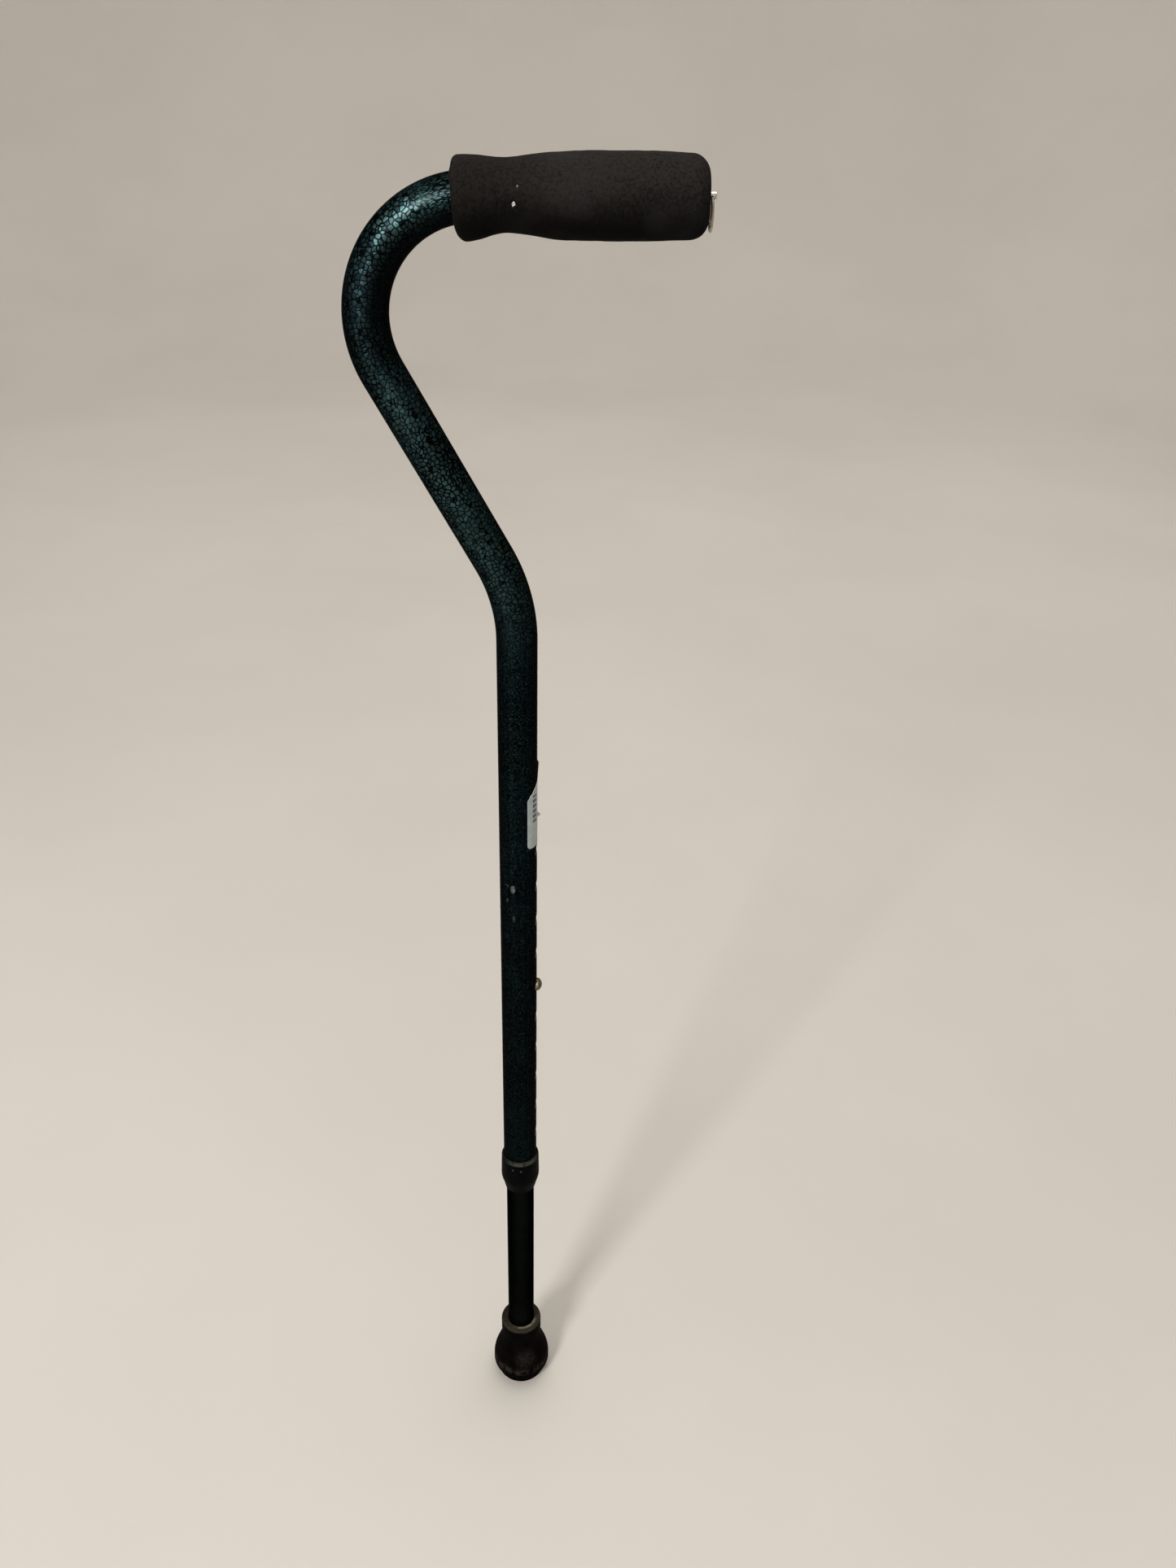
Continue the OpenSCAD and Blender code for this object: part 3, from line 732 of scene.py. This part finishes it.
def straightened(points):
    """(x, y, length) of each point once the tube's bends are taken out."""
    flat = []
    for x, y, z in points:
        p = np.array([x, z])
        past_bend_1 = (p - slant_start) @ slant_dir
        past_bend_2 = (p - handle_start) @ handle_dir
        if z > slant_start[1] and past_bend_2 >= 0 and z > bend_2_centre[1]:
            flat.append((-(p - handle_start) @ handle_up, y, S_HANDLE + past_bend_2))
        elif past_bend_1 > SLANT_LENGTH:
            d = p - bend_2_centre
            turned = math.pi + LEAN - (math.atan2(d[1], d[0]) % (2 * math.pi))
            flat.append((BEND_2_R - np.hypot(*d), y, S_BEND_2 + BEND_2_R * turned))
        elif past_bend_1 >= 0:
            side = np.array([slant_dir[1], -slant_dir[0]])
            flat.append(((p - slant_start) @ side, y, S_SLANT + past_bend_1))
        elif z > BEND_1_Z:
            d = p - bend_1_centre
            flat.append((np.hypot(*d) - BEND_1_R, y, S_BEND_1 + BEND_1_R * math.atan2(d[1], d[0])))
        else:
            flat.append((x, y, z - UPPER_END_Z))
    return np.array(flat)


def true_normals(obj, outer_r, inner_r, flat, to_space):
    """Gives the tube's faces the normals of a perfect tube, so that cuts leave no shading marks."""
    mesh = obj.data
    normals = []
    slack = 0.03 * MM
    for poly in mesh.polygons:
        radii = [math.hypot(flat[v][0], flat[v][1]) for v in poly.vertices]
        if all(abs(r - outer_r) < slack for r in radii):
            sign = 1
        elif all(abs(r - inner_r) < slack for r in radii):
            sign = -1
        else:
            sign = 0
        for v in poly.vertices:
            if sign:
                normals.append(sign * Vector(to_space(flat[v])).normalized())
            else:
                normals.append(poly.normal.copy())
    mesh.shade_smooth()
    mesh.normals_split_custom_set(normals)


def shaft_radial(c):
    _, t = on_centreline(min(max(c[2], 0.0), S_END))
    return (c[0] * t[1], c[1], -c[0] * t[0])


def drill(z, depth_from, r):
    """Cutter for a round hole along +X."""
    ends = [(depth_from, z), (UPPER_R + 5 * MM, z)]
    rings = [[(x, r * math.cos(a), h + r * math.sin(a)) for a in angles(48)] for x, h in ends]
    return loft("drill", rings)


def make_upper_shaft():
    outer = tube_stations()
    rings = [[round_at(s, r, a) for a in angles()] for s, r in outer]
    inner = [s for s, r in outer if r == UPPER_R]
    inner = [0.0] + [s for s in inner if s > S_BEND_1 - MM or s < MM * 0.5]
    rings += [[round_at(s, UPPER_R - WALL, a) for a in angles()] for s in reversed(sorted(set(inner)))]
    obj = loft("upper_shaft_tube", rings, closed_loop=True)
    cut(obj, [drill(z, UPPER_R - WALL - 3 * MM, HOLE_R) for z in HOLES_Z])
    flat = straightened([v.co for v in obj.data.vertices])
    true_normals(obj, UPPER_R, UPPER_R - WALL, flat, shaft_radial)
    keep_vector(obj, "tube", flat)
    return dress(obj, crackle_coat, "upper", "crackle_coat", "upper_shaft")


# ---- Lower shaft ----

def make_lower_shaft():
    lip = 0.3 * MM
    lo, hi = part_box("lower_shaft")
    bottom, top = lo.z, hi.z
    bore = LOWER_R - WALL
    outline = [(LOWER_R - lip, bottom), (LOWER_R, bottom + lip), (LOWER_R, top - lip), (LOWER_R - lip, top),
               (bore, top), (bore, bottom)]
    obj = lathe("lower_shaft_tube", outline)
    cut(obj, [drill(BUTTON_Z, bore - 3 * MM, HOLE_R)])
    flat = np.array([(v.co.x, v.co.y, v.co.z) for v in obj.data.vertices])
    true_normals(obj, LOWER_R, bore, flat, lambda c: (c[0], c[1], 0.0))
    return dress(obj, lower_coat(), "lower", "dark_coat", "lower_shaft")


def lower_coat():
    """Nearly black gloss with a faint teal mottle and long rub marks from sliding."""
    m = Shader("dark_coat")
    at = m.place()
    x, y, z = m.split(at)
    mottle = m.node("ShaderNodeTexVoronoi", {"Vector": at, "Scale": 560.0}, feature="DISTANCE_TO_EDGE")
    faint = m.times(m.ramp(mottle, 0.08, 0.3), m.ramp(m.noise(at, 90.0, 2.0), 0.45, 0.7))
    colour = m.mix(faint, (0.0062, 0.0076, 0.0072), (0.0085, 0.0125, 0.0130))
    along = m.join(m.times(x, 1100.0), m.times(y, 1100.0), m.times(z, 20.0))
    rubbed = m.times(m.ramp(m.noise(along, 1.0, 3.0), 0.68, 0.76), m.ramp(m.noise(at, 50.0), 0.45, 0.65))
    colour = m.mix(m.times(rubbed, 0.18), colour, (0.05, 0.055, 0.055))
    dusty = m.times(m.ramp(z, TIP_TOP, TIP_TOP + 30 * MM, 0.25, 0.0), m.noise(at, 500.0))
    colour = m.mix(dusty, colour, (0.03, 0.028, 0.024))
    gloss = m.ramp(m.noise(at, 70.0, 4.0), 0.3, 0.7, 0.30, 0.44)
    m.set(Base_Color=colour, Metallic=1.0, Specular_Tint=(0.25, 0.23, 0.21, 1.0),
          Roughness=m.maths("ADD", gloss, m.times(rubbed, 0.2)))
    m.set(Normal=m.bump(m.noise(at, 800.0, 2.0), 0.03 * MM, 0.5))
    return m.material


# ---- Foam grip ----

def make_foam_grip():
    turns = angles(200)

    def outer_ring(u):
        lean = START_LEAN * max(0.0, 1 - (u - GRIP_START) / LEAN_REACH)
        radii = [grip_radius(u, math.sin(a)) for a in turns]
        return [grip_point(u, r + wear(u, a, r), a, lean) for a, r in zip(turns, radii)]

    corner_in = [GRIP_START + START_CORNER * (1 - math.cos(math.radians(t))) for t in range(0, 91, 9)]
    corner_out = [GRIP_END - END_CORNER * (1 - math.sin(math.radians(t))) for t in range(0, 91, 6)]
    waist = np.arange(corner_in[-1] + 0.4 * MM, 30 * MM, 0.42 * MM)
    body = np.arange(30 * MM, corner_out[0] - 0.3 * MM, 1.0 * MM)
    stations = [*corner_in, *waist, *body, *corner_out]
    rings = [outer_ring(u) for u in stations]
    creases = [(crease_depth(u, a, grip_radius(u, math.sin(a))) / MM, 0.0, 0.0)
               for u in stations for a in turns]

    # the closed end dips a little towards the post
    face_r = grip_radius(GRIP_END, 0.0)
    for share in (0.85, 0.65, 0.45):
        dip = 0.5 * MM * (1 - share) ** 2
        rings.append([grip_point(GRIP_END - dip, face_r * share, a) for a in turns])
    for u, r in ((GRIP_END - 0.35 * MM, POST_R + 0.4 * MM), (GRIP_END - 0.9 * MM, POST_R), (PLUG_END, POST_R),
                 (PLUG_END, UPPER_R)):
        rings.append([grip_point(u, r, a) for a in turns])
    # the bore follows the tube, into the start of its bend
    bore_start = S_HANDLE + GRIP_START + 0.9 * MM
    for s in [S_HANDLE + 70 * MM, S_HANDLE + 30 * MM, *np.linspace(S_HANDLE, bore_start, 6)]:
        rings.append([round_at(s, UPPER_R, a + math.pi / 2) for a in turns])
    rings.append([round_at(bore_start - 0.6 * MM, UPPER_R + 0.5 * MM, a + math.pi / 2) for a in turns])
    obj = loft("foam_hand_grip", rings, closed_loop=True)
    creases += [(0.0, 0.0, 0.0)] * (len(obj.data.vertices) - len(creases))
    keep_vector(obj, "crease", creases)
    shade(obj, 60)
    return dress(obj, grip_foam, "upper", "grip_foam", "foam_grip")


# ---- Handle end: post and ring ----

def make_post():
    head, head_r = 1.6 * MM, 4.5 * MM
    start = HANDLE_LENGTH - 4 * MM - head
    lip = 0.45 * MM
    outline = [(0.0, start), *arc((head_r - lip, start + lip), lip, -90, 0, 4), (head_r, start + head),
               (POST_R, start + head), (POST_R, GRIP_END + 0.3 * MM),
               *arc((POST_R - lip, POST_END - lip), lip, 0, 90, 6), (0.0, POST_END - 0.05 * MM)]
    obj = lathe("strap_post_pin", outline, 64, on_handle)
    pivot = on_handle(0.0, 0.0, POST_END - 2 * MM)
    eye_r = 1.2 * MM
    rings = [[(pivot[0] + eye_r * math.cos(a), y, pivot[2] + eye_r * math.sin(a)) for a in angles(32)]
             for y in (-5 * MM, 5 * MM)]
    cut(obj, [loft("post_drill", rings)])
    shade(obj, 40)
    return dress(obj, chrome, "upper", "chromed_steel", "strap_post")


def make_ring():
    pivot = on_handle(0.0, 0.0, POST_END - 2 * MM)
    gap = math.radians(3)
    rings = []
    for i in range(97):
        a = math.radians(-30) + gap / 2 + (2 * math.pi - gap) * i / 96
        out = (0.0, math.cos(a), math.sin(a))
        # the wire's ends are chamfered
        end = min(i, 96 - i)
        r = WIRE_R * (0.72 if end == 0 else 1.0)
        centre = Vector((pivot[0], 0.0, pivot[2] - RING_R)) + RING_R * Vector(out)
        rings.append([tuple(centre + r * (math.cos(b) * Vector(out) + math.sin(b) * Vector((1, 0, 0))))
                      for b in angles(24)])
    obj = loft("strap_ring_wire", rings)
    shade(obj, 50)
    return dress(obj, ring_steel, "ring", "chromed_steel", "strap_ring")


# ---- Label ----

# Height over the lower end of the torn edge in mm, and the share of the half wrap that is left there
TORN_EDGE = [(0.0, 1.0), (2.5, 0.86), (6.0, 0.55), (10.0, 0.19), (14.0, 0.05), (20.0, -0.12)]
TORN_HEIGHT = 20 * MM
LABEL_CORNER = 2.6 * MM
FOLD_Z = 504 * MM


def label_edge(z):
    """Share of the label's half wrap at height z, for the front edge and the back edge."""
    up, down = z - LABEL_BOTTOM, LABEL_TOP - z

    def corner(gap):
        d = max(0.0, 1 - gap / LABEL_CORNER)
        return LABEL_CORNER / (UPPER_R * LABEL_HALF_WRAP) * (1 - math.sqrt(1 - d * d))

    front, back = 1 - corner(up), 1 - corner(up) - corner(down)
    if down < TORN_HEIGHT:
        front = smooth_curve(TORN_EDGE, (TORN_HEIGHT - down) / MM) + 0.015 * math.sin(down / MM * 2.3)
    return front, back


def make_label():
    rows, columns = 106, 56
    thickness = 0.14 * MM
    heights = [LABEL_BOTTOM + (LABEL_TOP - LABEL_BOTTOM) * i / rows for i in range(rows + 1)]
    outer, inner, coords = [], [], []
    for z in heights:
        front, back = label_edge(z)
        for j in range(columns + 1):
            share = -front + (front + back) * j / columns
            a = share * LABEL_HALF_WRAP
            from_edge = UPPER_R * LABEL_HALF_WRAP * (share + front)
            torn = max(0.0, min(1.0, (z - LABEL_TOP + 21 * MM) / (3 * MM)))
            top = max(0.0, (z - LABEL_TOP + 9 * MM) / (9 * MM))
            lift = torn * 0.30 * MM * math.exp(-from_edge / (1.3 * MM))
            lift += 0.55 * MM * top**2 * math.exp(-abs(a) * 1.2)
            # a small fold stands up on the side with the holes
            lift += 2.0 * MM * math.exp(-((z - FOLD_Z) / (0.9 * MM)) ** 2 - (a * UPPER_R / (1.0 * MM)) ** 2)
            r = UPPER_R + 0.01 * MM + lift
            edge_white = torn * math.exp(-((from_edge / (0.45 * MM)) ** 2))
            inner.append((r * math.cos(a), r * math.sin(a), z))
            r += thickness
            outer.append((r * math.cos(a), r * math.sin(a), z))
            coords.append((UPPER_R * a, z - LABEL_BOTTOM, edge_white))
    n = columns + 1
    count = len(outer)
    faces = []
    for i in range(rows):
        for j in range(columns):
            k = i * n + j
            faces.append((k, k + 1, k + n + 1, k + n))
            faces.append((count + k + n, count + k + n + 1, count + k + 1, count + k))
    rim = ([*range(n)] + [i * n + columns for i in range(1, rows + 1)]
           + [rows * n + j for j in reversed(range(columns))] + [i * n for i in reversed(range(1, rows))])
    for a, b in zip(rim, rim[1:] + rim[:1]):
        faces.append((b, a, count + a, count + b))
    obj = mesh_object("weight_label_film", outer + inner, faces)
    outwards(obj)
    shade(obj, 40)
    keep_vector(obj, "label", coords + coords)
    return dress(obj, label_film, "upper", "label_film", "weight_label")


# ---- Lock nut, button and rubber tip ----

def make_nut():
    inner_r = UPPER_R + 0.15 * MM
    exit_r = LOWER_R + 0.3 * MM
    seat = NUT_BOTTOM + 3.5 * MM
    outside = [(10.5, 200.0), (11.1, 202.6), (11.75, 205.4), (12.40, 207.6), (12.80, 209.4), (12.97, 211.4),
               (12.95, 214.0), (12.70, 228.0)]
    outline = [(r * MM, z * MM) for r, z in outside]
    outline += arc((12.35 * MM, 228.2 * MM), 0.33 * MM, 0, 60, 4)
    outline += [(11.80 * MM, 230.75 * MM), (11.72 * MM, NUT_TOP), (inner_r + 0.2 * MM, NUT_TOP),
                (inner_r, NUT_TOP - 0.2 * MM)]
    for turn in reversed(range(THREAD_TURNS)):
        z = THREAD_START + turn * THREAD_PITCH
        depth = THREAD_DEPTH + 0.03 * MM
        outline += [(inner_r, z + 0.55 * MM), (inner_r - depth, z), (inner_r, z - 0.55 * MM)]
    outline += [(inner_r, UPPER_END_Z + 0.5 * MM), (exit_r + 0.4 * MM, seat), (exit_r, seat),
                (exit_r, NUT_BOTTOM + 0.2 * MM), (exit_r + 0.2 * MM, NUT_BOTTOM)]
    obj = lathe("lock_nut_collar", outline, 128)
    shade(obj, 28)
    return dress(obj, black_plastic, "nut", "black_plastic", "lock_nut")


def make_button():
    """Domed button on its stem, turned about +X through the shaft's wall."""
    lo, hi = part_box("snap_button")
    button_r = 3.95 * MM
    base = 7.1 * MM
    tip = hi.x
    dome = 2.3 * MM
    dome_r = (button_r**2 + dome**2) / (2 * dome)
    spread = math.degrees(math.asin(button_r / dome_r))
    rivet = 0.9 * MM
    stem = 1.5 * MM
    head = stem + 0.9 * MM
    outline = [(0.0, base - rivet - 0.8 * MM), (head - 0.2 * MM, base - rivet - 0.8 * MM),
               (head, base - rivet - 0.6 * MM), (head, base - rivet), (stem, base - rivet), (stem, base),
               (button_r, base)]
    outline += [(r, x) for r, x in arc((0.0, tip - dome_r), dome_r, 90 - spread, 90, 12)]
    obj = lathe("snap_button_dome", outline, 64, lambda y, z, x: (x, y, BUTTON_Z + z))
    shade(obj, 30)
    return dress(obj, button_metal, "button", "button_metal", "snap_button")


def make_tip():
    sole_r = WIDE_R - 3.2 * MM
    bell_top = 42 * MM
    neck_low = NECK_R - 0.3 * MM
    outline = []
    # ring grooves in the sole
    for r in (5.5 * MM, 10.5 * MM):
        outline += [(r, 0.0), (r + 0.15 * MM, 2 * MM), (r + 1.85 * MM, 2 * MM), (r + 2 * MM, 0.0)]
    outline += arc((sole_r - 1.2 * MM, 1.2 * MM), 1.2 * MM, -90, 0, 6)
    outline += [(sole_r + 0.05 * MM, 5.6 * MM), (sole_r + 0.4 * MM, 6.3 * MM), (WIDE_R - 0.9 * MM, 7.8 * MM),
                (WIDE_R - 0.25 * MM, 8.5 * MM), (WIDE_R, 9.6 * MM)]
    for i in range(21):
        t = i / 20
        outline.append((neck_low + (WIDE_R - neck_low) * (1 + math.cos(math.pi * t)) / 2,
                        SOLE_TOP + (bell_top - SOLE_TOP) * t))
    outline += [(NECK_R, bell_top + 3 * MM),
                *arc((NECK_R - 1.6 * MM, TIP_TOP - 1.6 * MM), 1.6 * MM, 0, 90, 8),
                *arc((LOWER_R + 0.9 * MM, TIP_TOP - 0.9 * MM), 0.9 * MM, 90, 180, 5), (LOWER_R, SOLE_TOP),
                (0.0, SOLE_TOP), (0.0, 0.0)]
    obj = lathe("rubber_tip_boot", outline, 128)
    shade(obj, 32)
    return dress(obj, tip_rubber, "lower", "tip_rubber", "rubber_tip")


make_upper_shaft()
make_lower_shaft()
make_foam_grip()
make_post()
make_ring()
make_label()
make_nut()
make_button()
make_tip()

# The pieces that stay as the CAD has them
for cad_name, finish, slot_name in (("handle_end_plug", plug_plastic, "black_plastic"),
                                    ("split_bush", natural_nylon, "natural_nylon"),
                                    ("inner_glide", natural_nylon, "natural_nylon"),
                                    ("snap_spring", spring_steel, "spring_steel"),
                                    ("tip_washer", spring_steel, "spring_steel")):
    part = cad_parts[cad_name]
    part.data.materials.clear()
    part.data.materials.append(finish)


# ---- Floor, light and camera ----

def make_floor():
    """A round floor that curves up far behind and all round."""
    flat_r = 3.2
    curve_r = 1.6
    profile = [(0.0, 0.0), (flat_r / 2, 0.0)]
    profile += [(flat_r + x, curve_r + z) for x, z in arc((0.0, 0.0), curve_r, -90, 0, 16)]
    profile += [(flat_r + curve_r, 3.6)]
    tiny = 0.01
    rings = [[(max(r, tiny) * math.cos(a), max(r, tiny) * math.sin(a), z) for a in angles()]
             for r, z in profile]
    count = len(rings[0])
    points = [p for ring in rings for p in ring]
    faces = [(a + i, a + count + i, a + count + (i + 1) % count, a + (i + 1) % count)
             for a in range(0, len(points) - count, count) for i in range(count)]
    faces.append(tuple(range(count)))
    obj = mesh_object("floor", points, faces)
    obj.data.shade_smooth()
    obj.data.materials.append(floor_paint("floor_paint"))


def softbox(name, place, aim, size, power, colour):
    light = bpy.data.lights.new(name, "AREA")
    light.shape = "RECTANGLE"
    light.size, light.size_y = size
    light.energy = power
    light.color = colour
    obj = bpy.data.objects.new(name, light)
    bpy.context.scene.collection.objects.link(obj)
    obj.location = place
    obj.rotation_euler = (Vector(aim) - Vector(place)).to_track_quat("-Z", "Y").to_euler()
    return obj


def make_lights():
    softbox("key", (-0.85, -1.65, 1.70), (0.0, 0.0, 0.55), (0.42, 0.42), 30, (1.0, 0.98, 0.95))
    softbox("fill", (0.3, 1.6, 3.4), (0.0, 0.9, 0.0), (3.0, 3.0), 42, (1.0, 0.98, 0.95))
    glint = softbox("glint", (-0.88, -1.66, 1.66), (0.0, 0.0, 0.80), (0.36, 0.36), 92, (1.0, 1.0, 0.97))
    glint.visible_diffuse = False
    world = bpy.data.worlds.new("world")
    bpy.context.scene.world = world
    world.use_nodes = True
    sky = world.node_tree.nodes["Background"]
    sky.inputs["Color"].default_value = (1.0, 0.965, 0.92, 1.0)
    sky.inputs["Strength"].default_value = 0.46


def make_camera():
    position = Vector((40.1, -624.2, 893.1)) * MM
    pitch, roll = math.radians(30.52), math.radians(1.50)
    ahead = Vector((0.0, math.cos(pitch), -math.sin(pitch)))
    level = Vector((1.0, 0.0, 0.0))
    above = level.cross(ahead)
    right = math.cos(roll) * level + math.sin(roll) * above
    up = -math.sin(roll) * level + math.cos(roll) * above
    camera = bpy.data.cameras.new("camera")
    camera.sensor_width = 36
    camera.lens = 29.125
    camera.clip_start = 0.02
    obj = bpy.data.objects.new("camera", camera)
    bpy.context.scene.collection.objects.link(obj)
    turn = [[right[i], up[i], -ahead[i]] for i in range(3)]
    obj.matrix_world = Matrix.Translation(position) @ Matrix(turn).to_4x4()
    bpy.context.scene.camera = obj


make_floor()
make_lights()
make_camera()
bpy.context.scene.view_settings.view_transform = "Standard"
